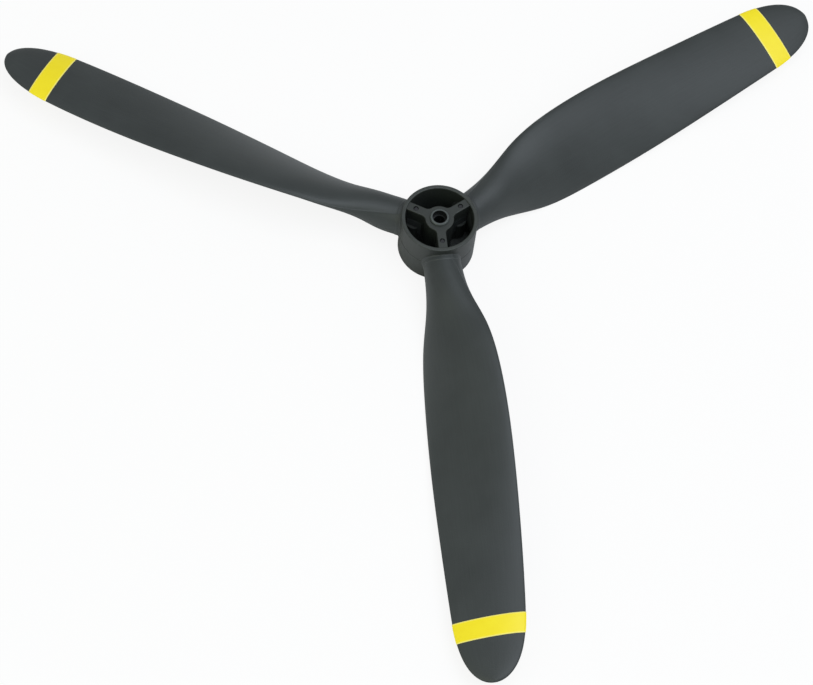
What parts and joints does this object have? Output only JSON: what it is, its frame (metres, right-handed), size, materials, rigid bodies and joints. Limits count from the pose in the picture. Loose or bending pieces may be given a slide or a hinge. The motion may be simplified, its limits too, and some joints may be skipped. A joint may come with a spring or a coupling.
{
  "type": "model aircraft propeller",
  "caption": "Model aircraft propeller: twisted slender blades with banded tips, clamped in a drum hub with an open spoked front and a stepped shaft bush.",
  "frame": {"origin": "on the shaft axis, in the plane of the three blade axes", "axes": "+Z along the shaft axis towards the open spoked face of the hub; the first blade points along -Y"},
  "size_m": [0.233, 0.2038, 0.0161],
  "materials": {
    "blade_nylon": "moulded glass-filled nylon, dark grey with a satin sheen",
    "hub_nylon": "moulded glass-filled nylon, near-black, fine grain",
    "bush_acetal": "turned black acetal, slightly lighter than the hub",
    "band_vinyl": "self-adhesive yellow film, smooth",
    "screw_steel": "black oxide steel"
  },
  "bodies": {
    "root": {"blade_1": "blade_nylon", "blade_2": "blade_nylon", "blade_3": "blade_nylon", "tip_band_1": "band_vinyl", "tip_band_2": "band_vinyl", "tip_band_3": "band_vinyl", "hub_front": "hub_nylon", "hub_rear": "hub_nylon", "shaft_bush": "bush_acetal", "hub_screws": "screw_steel"}
  },
  "joints": []
}
